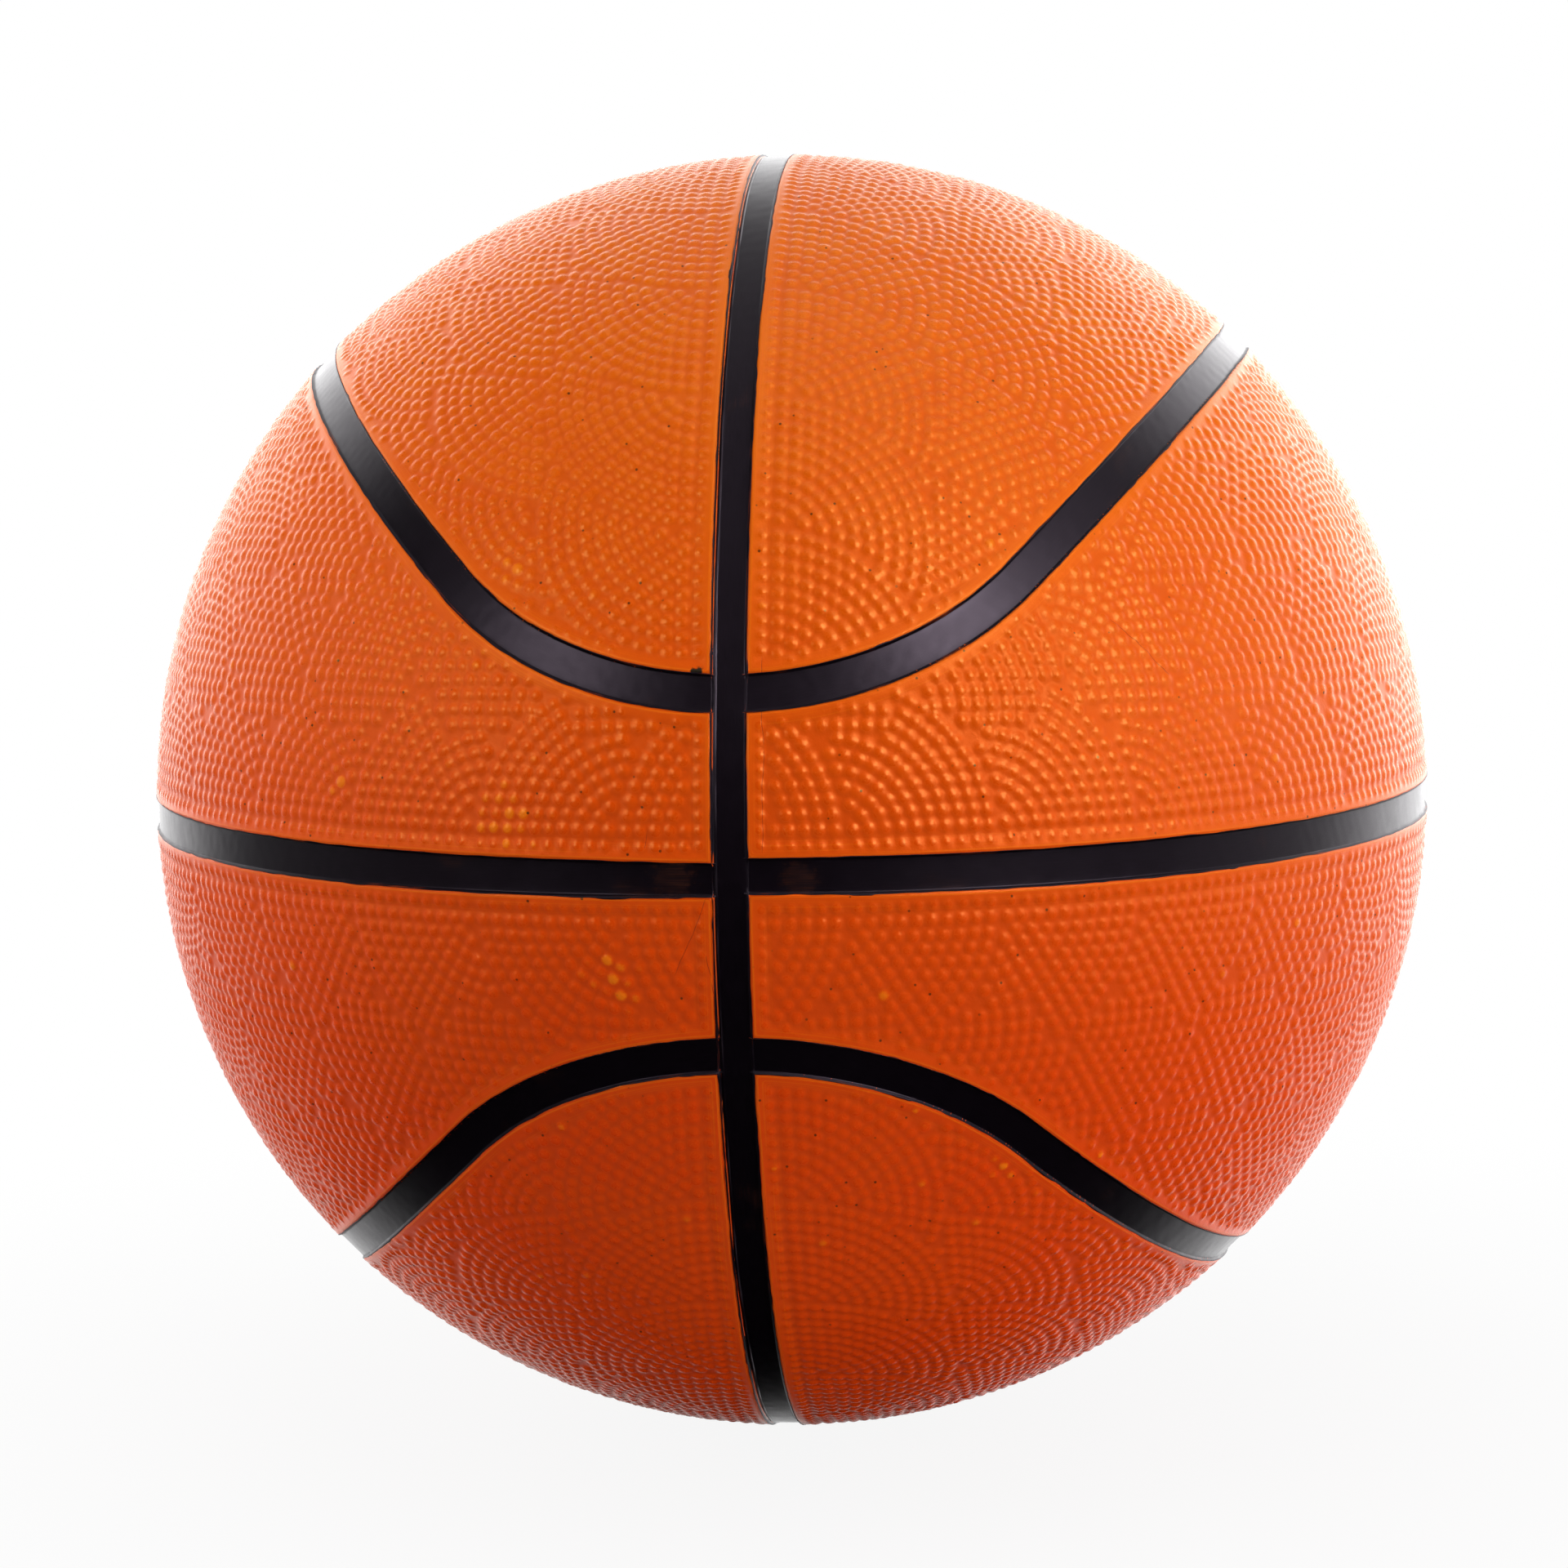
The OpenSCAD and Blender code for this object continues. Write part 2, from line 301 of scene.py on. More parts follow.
def make_panel(name, saddle, turn, seed):
    """One pebbled panel: a grid over the along and away angles, cut to the panel's outline with its rim drawn onto
    it, and raised by the ground and the highest pebble over each point. A pebble is (1 - d) to the power 1.5, where
    d is the square of the distance from its centre by its width. turn is the half turn or mirroring that brings the
    upper right panel to this one."""
    place = round_side if saddle else over_top
    step = PANEL_STEP / BALL_R
    far = LEAN + 0.01 if saddle else math.pi / 2 - LEAN + 0.01
    start = 0.001 if saddle else WAIST
    along = np.arange(start, math.pi - start, step)
    away = np.arange(0.006, far, step)
    A, B = np.meshgrid(along, away, indexing="ij")
    base = place(A, B)
    rows, columns = A.shape
    hole = saddle and min(turn) > 0         # the upper right saddle holds the valve
    spin = np.array(turn, float)
    inside = panel_edge(base, saddle)
    if hole:
        inside = np.minimum(inside, valve_distance(base) - VALVE_HOLE)

    # faces whose middle is inside, wound so that they look outwards
    middle = (inside[:-1, :-1] + inside[1:, :-1] + inside[:-1, 1:] + inside[1:, 1:]) / 4
    keep = (middle > 0).ravel()
    faces = grid_faces(rows, columns)
    if saddle != (np.prod(spin) < 0):
        faces = faces[:, ::-1]
    used = faces[keep]
    touched = np.zeros(rows * columns, bool)
    touched[faces[~keep].ravel()] = True
    live = np.zeros(rows * columns, bool)
    live[used.ravel()] = True
    rim = live & touched
    rim |= live & np.pad(np.zeros((rows - 2, columns - 2), bool), 1, constant_values=True).ravel()

    # draw the rim onto the outline, down the slope of the distance
    p = base.reshape(-1, 3)
    q = p[rim]

    def reach(x):
        d = panel_edge(x, saddle)
        return np.minimum(d, valve_distance(x) - VALVE_HOLE) if hole else d

    for _ in range(2):
        e = unit(np.cross(np.array([0.31, 0.17, 0.93]), q))
        f = np.cross(q, e)
        d = reach(q)
        slope = ((reach(unit(q + 1e-5 * e)) - d)[:, None] * e + (reach(unit(q + 1e-5 * f)) - d)[:, None] * f) / 1e-5
        size = np.linalg.norm(slope, axis=1, keepdims=True) + 1e-9
        q = unit(q - slope / size * np.clip(d[:, None] / BALL_R, -0.006, 0.006))
    p = p.copy()
    p[rim] = q

    # pebbles, splatted onto the grid
    laid, grain = LAID[saddle]
    ok = panel_edge(laid, saddle) > 0
    if hole:
        ok &= valve_distance(laid) > CLEAR_VALVE
    laid, grain = laid[ok], grain[ok]
    rng = np.random.default_rng(seed)
    laid = unit(laid + rng.normal(scale=0.05 / BALL_R, size=laid.shape))
    strength = ease((-channel_depth(laid * spin) - 0.2) / 2.4) * rng.normal(1.0, 0.08, len(laid)).clip(0.75, 1.15)
    if hole:
        strength *= ease((valve_distance(laid) - 7.0) / 3.0)
    width = PEBBLE_R * rng.normal(1.0, 0.035, len(laid)).clip(0.9, 1.1)
    width *= 0.62 + 0.38 * ease((-channel_depth(laid * spin) - 1.2) / 3.2)
    wear = worn_share(laid * spin) * rng.uniform(0.30, 1.1, len(laid))
    wear += (rng.random(len(laid)) < STRAY_WORN) * rng.uniform(0.15, 0.5, len(laid))
    if saddle:
        pa, pb = np.arctan2(laid[:, 0], -laid[:, 1]), np.arcsin(laid[:, 2])
    else:
        pa, pb = np.arctan2(laid[:, 2], -laid[:, 1]), np.arcsin(laid[:, 0])
    i0 = np.rint((pa - along[0]) / step).astype(int)
    j0 = np.rint((pb - away[0]) / step).astype(int)
    crown = np.zeros(rows * columns)
    worn = np.zeros(rows * columns)
    # each pebble reaches the grid points up to six rows and four columns from its own
    for di in range(-6, 7):
        for dj in range(-4, 5):
            i, j = i0 + di, j0 + dj
            ok = (i >= 0) & (i < rows) & (j >= 0) & (j < columns)
            at = i[ok] * columns + j[ok]
            off = (p[at] - laid[ok]) * BALL_R / width[ok, None]
            d = (off * off).sum(1) - (1 - STRETCH ** -2) * (off * grain[ok]).sum(1) ** 2
            dome = np.maximum(1 - d, 0) ** 1.5 * strength[ok]
            np.maximum.at(crown, at, dome)
            np.maximum.at(worn, at, dome * wear[ok])
    depth = channel_depth(p * spin)
    height = land_height(p * spin, depth)
    if hole:                                # a smooth land round the valve, with a low ring moulded on it
        gap = valve_distance(p)
        height += (LAND - 0.02 - height) * ease((10.5 - gap) / 3.0) + 0.10 * np.exp(-((gap - 6.6) / 0.55) ** 2)
    height += PEBBLE_H * crown
    radius = BALL_R + np.minimum(height, NO_HIGHER)

    number = -np.ones(rows * columns, int)
    number[live] = np.arange(live.sum())
    points = (p * radius[:, None])[live] * spin
    return add_piece(name, points, number[used], "cover", replaces=(name.replace("pebbled_", ""),),
                     marks={"crown": crown[live], "worn": worn[live], "inset": depth[live].clip(-8, 2)})


# ---------------------------------------------------------------- painted channels
def level_line(s, side):
    """Centre line of the level channel s mm from the front crossing round the given side, and its side direction."""
    a = s / BALL_R
    c = np.stack([side * np.sin(a), -np.cos(a), 0 * a], -1)
    return c, np.broadcast_to(np.array([0, 0, 1.0]), c.shape)


def upright_line(s):
    """Centre line of the upright channel s mm from the front crossing upwards, with +X across."""
    a = s / BALL_R
    c = np.stack([0 * a, -np.cos(a), np.sin(a)], -1)
    return c, np.broadcast_to(np.array([1.0, 0, 0]), c.shape)


END_TURN = math.acos(np.clip(unit(JOINT - JOINT @ CURVE_AXIS * CURVE_AXIS)
                             @ unit(np.array([0, -math.cos(WAIST), math.sin(WAIST)])
                                    - math.cos(END_SPREAD) * CURVE_AXIS), -1, 1))
END_LENGTH = END_TURN * math.sin(END_SPREAD) * BALL_R
SIDE_TURN = math.acos(np.clip(JOINT @ (JOINT * np.array([1, -1, 1])), -1, 1))
SIDE_LENGTH = SIDE_TURN * BALL_R
CURVE_LENGTH = 2 * END_LENGTH + SIDE_LENGTH


def curve_line(s):
    """Centre line of the upper right curved channel s mm from the front: round the front end's small circle, along
    the leaning plane, and round the back end. The side direction points to the cap."""
    def end(t):
        down = unit(np.array([0, -math.cos(WAIST), math.sin(WAIST)]) - math.cos(END_SPREAD) * CURVE_AXIS)
        right = np.cross(CURVE_AXIS, down)
        right = right * np.sign(right[0])
        w = t / (math.sin(END_SPREAD) * BALL_R)
        out = down * np.cos(w)[:, None] + right * np.sin(w)[:, None]
        c = CURVE_AXIS * math.cos(END_SPREAD) + out * math.sin(END_SPREAD)
        return c, CURVE_AXIS * math.sin(END_SPREAD) - out * math.cos(END_SPREAD)

    mirror = np.array([1, -1, 1])
    c0, n0 = end(np.minimum(s, END_LENGTH))
    c2, n2 = end(np.minimum(CURVE_LENGTH - s, END_LENGTH))
    on = np.cross(-SIDE_PLANE, JOINT)
    on = on * np.sign(on[1])
    w = ((s - END_LENGTH) / BALL_R)[:, None]
    c1 = JOINT * np.cos(w) + on * np.sin(w)
    first, last = (s < END_LENGTH)[:, None], (s > END_LENGTH + SIDE_LENGTH)[:, None]
    c = np.where(first, c0, np.where(last, c2 * mirror, c1))
    n = np.where(first, n0, np.where(last, n2 * mirror, np.broadcast_to(-SIDE_PLANE, c.shape)))
    return unit(c), unit(n)


def paint_height(depth):
    """The painted channel in mm above the ball's radius: rounded shoulders, short walls and a dished floor."""
    wall = ease((depth + 0.10) / 0.42)
    top = LAND + 0.125 * np.exp(-((depth + 0.35) / 0.5) ** 2)
    return top * (1 - wall) + (-FLOOR_DEPTH + 0.10 * np.exp(-np.maximum(depth, 0) / 0.8)) * wall


def make_channel(name, line, half, length, start, seed, spin=(1, 1, 1), lift=0.0, closed=False, ridge=False,
                 level=False):
    """One painted channel: a ribbon along its centre line whose two edges waver like a brush's, following the
    channel's floor, walls and shoulders a paint film's thickness above the rubber. ridge adds the moulding flash
    along one side, with places where the paint is rubbed off beside it. level is for the trimmed level channel."""
    rows = int((length - 2 * start) / CHANNEL_STEP)
    s = np.linspace(start, length - start, rows, endpoint=not closed)
    # the points across, as shares of the half width, closest together over the walls
    share = np.array([-1.0, -1.0, -0.985, -0.965, -0.94, -0.915, -0.89, -0.865, -0.84, -0.81, -0.77, -0.72, -0.64,
                      -0.5, -0.3, -0.1, 0.1, 0.3, 0.5, 0.64, 0.72, 0.77, 0.81, 0.84, 0.865, 0.89, 0.915, 0.94, 0.965,
                      0.985, 1.0, 1.0])
    if ridge:
        share = np.sort(np.concatenate([share[share < -0.985], share[share > -0.6], np.linspace(-0.985, -0.6, 18)]))
    c, n = line(s)
    spin = np.array(spin, float)
    place = c * spin

    def edge(k):
        slow, quick = ripple(place, 26, seed + k), ripple(place, 5.5, seed + 7 + k)
        nick = ease((ripple(place, 9, seed + 13 + k) - 1.5) / 0.5)
        trim = level_trim(place, k == 2) if level else 0
        return half + 0.12 + 0.05 * slow + 0.04 * quick + 0.16 * nick - trim

    low, high = edge(1), edge(2)
    t = np.where(share < 0, low[:, None] * share, high[:, None] * share)
    w = t / BALL_R
    p = unit(c[:, None, :] * np.cos(w)[..., None] + n[:, None, :] * np.sin(w)[..., None])
    depth = channel_depth(p * spin)
    film = PAINT_FILM + 0.006 * ripple(p * spin, 3.0, seed + 3)
    height = paint_height(depth) + film + lift
    height[:, [0, -1]] -= 0.30
    flash = bare = np.zeros(t.shape)
    if ridge:
        x = t + 0.05 * ripple(place, 30, seed + 30)[:, None]
        strength = (0.75 + 0.25 * ripple(place, 12, seed + 31)[:, None]).clip(0.3, 1.2)
        flash = strength * np.exp(-((x + FLASH_LINE) / 0.13) ** 2)
        gap = np.exp(-((x + RUBBED_LINE) / 0.11) ** 2)
        height += 0.16 * flash - 0.10 * gap
        bare = gap * ease((ripple(place, 24, seed + 32)[:, None] + 0.35) / 0.5)
        turn = np.where(s > length / 2, s - length, s)[:, None]
        for nick in NICKS:
            bare = np.maximum(bare, 1.2 * np.exp(-((x + 2.72) / 0.20) ** 2 - ((turn - nick) / 0.42) ** 2))
    points = p * (BALL_R + np.minimum(height, NO_HIGHER))[..., None] * spin
    columns = points.shape[1]
    faces = grid_faces(rows, columns, close_rows=closed)
    if np.prod(spin) * np.sign(np.cross(c[1] - c[0], n[0]) @ c[0]) > 0:
        faces = faces[:, ::-1]
    uv = np.stack([np.broadcast_to((s / 100)[:, None], t.shape), t / 10], -1).reshape(-1, 2)
    return add_piece(name, points.reshape(-1, 3), faces, "channel", replaces=(name.replace("painted_", ""),),
                     marks={"rim": ease(1 - (np.minimum(low[:, None] + t, high[:, None] - t)) / 0.7).ravel(),
                            "flash": flash.ravel(), "bare": bare.ravel()}, uv=uv)


# ---------------------------------------------------------------- valve
def turned(name, profile, slot, replaces=()):
    """A surface of revolution about the valve's axis: the profile lists radius and distance from the ball's centre
    in mm, and its ends lie on the axis or stay open."""
    around = 64
    profile = np.array(profile, float)
    side = unit(np.cross(np.array([0, 0, 1.0]), VALVE_AXIS))
    up = np.cross(VALVE_AXIS, side)
    turn = np.linspace(0, 2 * math.pi, around, endpoint=False)
    ring = side * np.cos(turn)[:, None] + up * np.sin(turn)[:, None]
    points = (VALVE_AXIS * profile[:, 1, None, None] + ring * profile[:, 0, None, None]).reshape(-1, 3)
    quads = grid_faces(len(profile), around, close_columns=True)
    faces = np.concatenate([quads[:, [0, 1, 2]], quads[:, [0, 2, 3]]])
    row = faces // around                    # rings of no width become one point each
    flat = profile[:, 0] < 1e-6
    faces = np.where(flat[row], row * around, faces)
    faces = faces[(faces[:, 0] != faces[:, 1]) & (faces[:, 1] != faces[:, 2]) & (faces[:, 2] != faces[:, 0])]
    kept, faces = np.unique(faces, return_inverse=True)
    return add_piece(name, points[kept], faces.reshape(-1, 3), slot, replaces=replaces)


def smooth_profile(points):
    """A profile rounded by cutting its corners four times, its two ends kept."""
    p = np.array(points, float)
    for _ in range(4):
        a, b = p[:-1] * 0.75 + p[1:] * 0.25, p[:-1] * 0.25 + p[1:] * 0.75
        p = np.concatenate([p[:1], np.stack([a, b], 1).reshape(-1, 2)[1:-1], p[-1:]])
    return p


# ---------------------------------------------------------------- finishes
class Wire:
    """A shader value: sums, differences and products on it add Math nodes."""
    def __init__(self, finish, socket):
        self.finish, self.socket = finish, socket

    def maths(self, kind, *rest):
        return self.finish.node("Math", {"operation": kind}, dict(enumerate((self,) + rest)), 0)

    def __add__(self, other): return self.maths("ADD", other)
    def __sub__(self, other): return self.maths("SUBTRACT", other)
    def __mul__(self, other): return self.maths("MULTIPLY", other)
    def __rsub__(self, other): return Wire.maths(self * -1, "ADD", other)
    __radd__, __rmul__ = __add__, __mul__

    def step(self, low, high):
        """0 below low, 1 above high, smooth between."""
        return self.finish.node("MapRange", {"interpolation_type": "SMOOTHSTEP"},
                                {"Value": self, "From Min": low, "From Max": high}, 0)


class Finish:
    """A material made of nodes, with one method that makes any node."""
    def __init__(self, name):
        self.material = bpy.data.materials.new(name)
        self.material.use_nodes = True
        self.tree = self.material.node_tree
        self.shader = self.tree.nodes["Principled BSDF"]
        self.output = self.tree.nodes["Material Output"]
        self.place = self.node("TexCoord", {}, {}, "Object")

    def node(self, kind, settings, inputs, out=0):
        made = self.tree.nodes.new("ShaderNode" + kind)
        for key, value in settings.items():
            setattr(made, key, value)
        for key, value in inputs.items():
            self.feed(made.inputs[key], value)
        return Wire(self, made.outputs[out])

    def feed(self, socket, value):
        if isinstance(value, Wire):
            self.tree.links.new(value.socket, socket)
        elif isinstance(value, (tuple, list)) and len(value) == 3 and socket.type == "RGBA":
            socket.default_value = (*value, 1)
        else:
            socket.default_value = value

    def set(self, **sockets):
        for key, value in sockets.items():
            self.feed(self.shader.inputs[key.replace("_", " ")], value)

    def mark(self, name):
        return self.node("Attribute", {"attribute_name": name}, {}, "Fac")

    def noise(self, size_mm, detail=3.0, rough=0.55):
        return self.node("TexNoise", {}, {"Vector": self.place, "Scale": 1000.0 / size_mm, "Detail": detail,
                                          "Roughness": rough}, "Fac")

    def cells(self, size_mm):
        """Distance to the nearest of points scattered one to a cell of that size, by the size."""
        return self.node("TexVoronoi", {}, {"Vector": self.place, "Scale": 1000.0 / size_mm}, "Distance")

    def streaks(self, scale, detail, rough, lay):
        """Noise drawn out along the channel by the UV layer's scale."""
        drawn = self.node("Mapping", {}, {"Vector": lay, "Scale": scale}, "Vector")
        return self.node("TexNoise", {}, {"Vector": drawn, "Scale": 1.0, "Detail": detail, "Roughness": rough}, "Fac")

    def mix(self, factor, first, second):
        made = self.tree.nodes.new("ShaderNodeMix")
        made.data_type = "RGBA"
        for key, value in ((0, factor), (6, first), (7, second)):
            self.feed(made.inputs[key], value)
        return Wire(self, made.outputs[2])

    def hairline(self, first, last, width_mm):
        """1 on a thin wavering line over the ball between two points in mm, 0 elsewhere."""
        first, last = unit(np.array(first, float)), unit(np.array(last, float))
        side, on, middle = unit(np.cross(first, last)), last - first, unit(first + last)
        half = float(np.linalg.norm(on)) / 2 * BALL_R * MM

        def part(way):
            return self.node("VectorMath", {"operation": "DOT_PRODUCT"}, {0: self.place, 1: tuple(way)}, "Value")

        waver = (self.noise(9, 2) - 0.5) * (1.6 * MM)
        near = 1 - (part(side) + waver).maths("ABSOLUTE").step(width_mm * 0.35 * MM, width_mm * MM)
        ends = 1 - part(unit(on)).maths("ABSOLUTE").step(half * 0.9, half)
        return near * ends * part(middle).step(0, 1 * MM) * self.noise(5, 2, 0.5).step(0.30, 0.46)

    def smudge(self, middle, reach_mm):
        """1 in a ragged patch round a point of the ball in mm, 0 outside it."""
        middle = tuple(unit(np.array(middle, float)) * BALL_R * MM)
        gap = self.node("VectorMath", {"operation": "DISTANCE"}, {0: self.place, 1: middle}, "Value")
        return 1 - (gap + (self.noise(1.1, 4, 0.7) - 0.5) * (reach_mm * 2.4 * MM)).step(reach_mm * 0.5 * MM,
                                                                                       reach_mm * MM)

    def bump(self, height, distance_mm, strength):
        return self.node("Bump", {}, {"Height": height, "Distance": distance_mm * MM, "Strength": strength}, "Normal")


# the two ends of each scratch in mm, and its width
SCRATCHES = (((-3.8, -121.4, -3.1), (-10.5, -119.7, -18), 0.11), ((-4.3, -120.7, -12.8), (-3.4, -119.9, -19.5), 0.10),
             ((5.6, -115.7, 36.7), (5.5, -121.3, 3.5), 0.10), ((-13.2, -120.4, 9.3), (-14.2, -120.6, 5.0), 0.09),
             ((62, -95, 40), (71, -90, 29), 0.09), ((-55, 104, -30), (-38, 112, -27), 0.11),
             ((30, 108, 46), (44, 100, 52), 0.10))


def moulded_cover():
    """Orange moulded rubber: mottled, with painted shade darker between the pebbles and painted light lighter and
    yellower towards the top, a painted highlight in streaks on the lip beside the channels, its worn pebble tops
    yellower, glossier on the crowns, with a crinkled skin, fine specks of dirt and a few hairline scratches."""
    f = Finish("moulded_orange_rubber")
    crown, worn, inset = f.mark("crown"), f.mark("worn"), f.mark("inset")
    border = inset.step(-3.0, -1.2)
    broad = f.noise(70, 3, 0.5).step(0.30, 0.72)
    mid = f.noise(9, 4, 0.6).step(0.28, 0.75)
    fine = f.noise(0.55, 3, 0.6)
    grit = f.noise(0.20, 2, 0.5)
    # painted light: the orange lighter and yellower towards the top, and a little towards the back and right, where
    # more light falls
    painted_top_light = f.node("VectorMath", {"operation": "DOT_PRODUCT"}, {0: f.place, 1: (1.2, 3.0, 7.5)}, "Value")
    colour = f.mix(painted_top_light.step(-0.75, 0.80), (0.78, 0.048, 0.0005), (0.835, 0.168, 0.0026))
    colour = f.mix(broad * 0.30, colour, (0.81, 0.090, 0.0010))
    colour = f.mix(mid * 0.3, colour, (0.72, 0.062, 0.0008))
    # painted shade: the ground between the pebbles darker and redder, as shade in the hollows
    colour = f.mix((1 - crown.step(0.0, 0.7)) * (1 - border) * 0.30, colour, (0.56, 0.034, 0.0006))
    colour = f.mix(fine.step(0.55, 0.85) * 0.16, colour, (0.90, 0.15, 0.003))
    lines = f.node("TexNoise", {"noise_dimensions": "2D"}, {"Vector": f.node("CombineXYZ", {}, {"X": inset * 2.6,
                   "Y": f.noise(60, 1) * 3.0}, 0), "Scale": 1.0, "Detail": 3.0}, "Fac")
    colour = f.mix(lines.step(0.52, 0.66) * inset.step(-4.2, -2.0) * 0.30, colour, (0.86, 0.18, 0.003))
    top = (worn * (0.35 + fine * 0.6 + f.noise(1.3, 2) * 0.7)).step(0.20, 0.62)
    colour = f.mix(top * 0.75, colour, (0.95, 0.215, 0.005))
    # painted highlight: streaks on the lip beside a channel lighter and yellower, as where the lip catches the light
    colour = f.mix(inset.step(-1.0, -0.35) * lines.step(0.40, 0.60) * 0.30, colour, (0.92, 0.19, 0.004))
    specks = (1 - f.cells(3.4).step(0.045, 0.09)) * f.noise(11, 2).step(0.42, 0.50)
    colour = f.mix(specks * 0.9, colour, (0.05, 0.012, 0.004))
    scratch = None
    for first, last, width in SCRATCHES:
        line = f.hairline(first, last, width)
        scratch = line if scratch is None else scratch.maths("MAXIMUM", line)
    colour = f.mix(scratch * 0.7, colour, (0.36, 0.016, 0.003))
    skin = f.noise(0.34, 2, 0.5)
    height = fine * 0.55 + grit * 0.20 + skin * 0.45 + (1 - scratch) * 0.4
    colour = f.mix(f.smudge((-5.2, -116.6, 33.8), 1.3), colour, (0.006, 0.004, 0.006))
    rough = (0.42 - crown.step(0.05, 0.60) * 0.15 - border * 0.05 + (f.noise(4, 3) - 0.5) * 0.12
             + fine.step(0.5, 0.8) * 0.06 - worn * 0.03)
    f.set(Base_Color=colour, Roughness=rough, Normal=f.bump(height, 0.060, 0.85), IOR=1.5,
          Specular_Tint=(1.0, 0.84, 0.26))
    return f.material


def channel_paint():
    """Black paint brushed into the channels: violet-black with a soft sheen, brush marks along the channel, dull
    scuffs, streaks where the orange shows through near the edges, and a painted highlight along the moulding flash."""
    f = Finish("brushed_black_paint")
    lay = f.node("UVMap", {"uv_map": "lay"}, {}, "UV")
    rim, flash = f.mark("rim"), f.mark("flash")
    strokes = f.streaks((28.0, 60.0, 1.0), 4.0, 0.6, lay)
    hairs = f.streaks((9.0, 190.0, 1.0), 2.0, 0.5, lay)
    patch = f.noise(14, 3)
    colour = f.mix(strokes.step(0.35, 0.7), (0.0018, 0.0009, 0.0019), (0.0042, 0.0024, 0.0046))
    scuff = patch.step(0.62, 0.74) * hairs.step(0.52, 0.66)
    rubs = f.smudge((-9.5, -121.2, 0.2), 4.2).maths("MAXIMUM", f.smudge((11.5, -121, -0.2), 3.6))
    scuff = scuff.maths("MAXIMUM", rubs * hairs.step(0.50, 0.62) * 1.3)
    colour = f.mix(scuff * 0.45, colour, (0.080, 0.022, 0.006))
    bare = rim.step(0.35, 0.9) * hairs.step(0.60, 0.66) * f.noise(19, 2).step(0.52, 0.60)
    colour = f.mix(bare * 0.85, colour, (0.70, 0.10, 0.010))
    # painted highlight: a paler violet-grey along the crest of the moulding flash, as the sheen it catches
    colour = f.mix(flash.step(0.3, 1.0) * 0.75, colour, (0.040, 0.030, 0.040))
    colour = f.mix(f.mark("bare").step(0.35, 0.75) * 0.9, colour, (0.62, 0.075, 0.004))
    height = strokes * 0.5 + hairs * 0.25 + f.noise(0.5, 3) * 0.35
    rough = 0.28 + rim * 0.20 + strokes * 0.08 + scuff * 0.12 + (f.noise(6, 2) - 0.5) * 0.08
    f.set(Base_Color=colour, Roughness=rough, Normal=f.bump(height, 0.03, 0.6), IOR=1.34,
          Specular_Tint=(1.0, 0.80, 1.0))
    return f.material


def plain_rubber(name, dark, light, rough, grain_mm):
    """A rubber with a slight mottle and a fine grain."""
    f = Finish(name)
    cloud = f.noise(grain_mm * 14, 3).step(0.3, 0.7)
    grain = f.noise(grain_mm, 4, 0.6)
    f.set(Base_Color=f.mix(cloud, dark, light), Roughness=rough + (grain - 0.5) * 0.2,
          Normal=f.bump(grain, grain_mm * 0.12, 0.6))
    return f.material


def wound_thread():
    """Nylon thread wound round the carcass at many angles."""
    f = Finish("wound_nylon_thread")
    total = None
    for way in ((0.94, 0.34, 0.05), (0.1, 0.88, 0.46), (-0.52, 0.2, 0.83), (0.6, -0.55, 0.58)):
        across = f.node("VectorMath", {"operation": "DOT_PRODUCT"}, {0: f.place, 1: way}, "Value")
        ridge = (across * (2 * math.pi / 0.0009)).maths("SINE").step(-0.2, 1.0) * f.noise(16, 2).step(0.35, 0.6)
        total = ridge if total is None else total.maths("MAXIMUM", ridge)
    f.set(Base_Color=f.mix(total, (0.42, 0.38, 0.29), (0.72, 0.68, 0.56)), Roughness=0.62,
          Normal=f.bump(total, 0.2, 0.8))
    return f.material


# ---------------------------------------------------------------- the ball
finish = {"cover": moulded_cover(), "channel": channel_paint(),
          "carcass": plain_rubber("calendered_carcass_rubber", (0.060, 0.052, 0.046), (0.085, 0.074, 0.064),
                                  0.6, 0.8),
          "winding": wound_thread(),
          "bladder": plain_rubber("butyl_bladder", (0.020, 0.019, 0.018), (0.034, 0.032, 0.030), 0.5, 1.2),
          "valve": plain_rubber("soft_valve_rubber", (0.012, 0.011, 0.012), (0.022, 0.020, 0.021), 0.45, 0.35)}

CAP_TURNS = {"upper_right": (1, 1, 1), "upper_left": (-1, -1, 1), "lower_left": (-1, -1, -1),
             "lower_right": (1, -1, -1)}
SADDLE_TURNS = {"upper_right": (1, 1, 1), "upper_left": (-1, 1, 1), "lower_left": (-1, 1, -1),
                "lower_right": (1, 1, -1)}
pieces = []
for k, corner in enumerate(CAP_TURNS):
    pieces.append(make_panel("pebbled_panel_cap_" + corner, False, CAP_TURNS[corner], 40 + k))
    pieces.append(make_panel("pebbled_panel_saddle_" + corner, True, SADDLE_TURNS[corner], 60 + k))

pieces.append(make_channel("painted_channel_upright", upright_line, UPRIGHT_W / 2, 2 * math.pi * BALL_R, 0.0, 101,
                           lift=0.02, closed=True, ridge=True))
for k, (side, sign) in enumerate((("left", -1), ("right", 1))):
    pieces.append(make_channel("painted_channel_level_" + side, lambda s, sign=sign: level_line(s, sign), LEVEL_W / 2,
                               math.pi * BALL_R, BUTT, 130 + 20 * k, level=True))
    for m, (half, up) in enumerate((("upper", 1), ("lower", -1))):
        pieces.append(make_channel("painted_channel_curve_%s_%s" % (half, side), curve_line, CURVE_W / 2,
                                   CURVE_LENGTH, BUTT, 200 + 40 * k + 20 * m, spin=(sign, 1, up)))

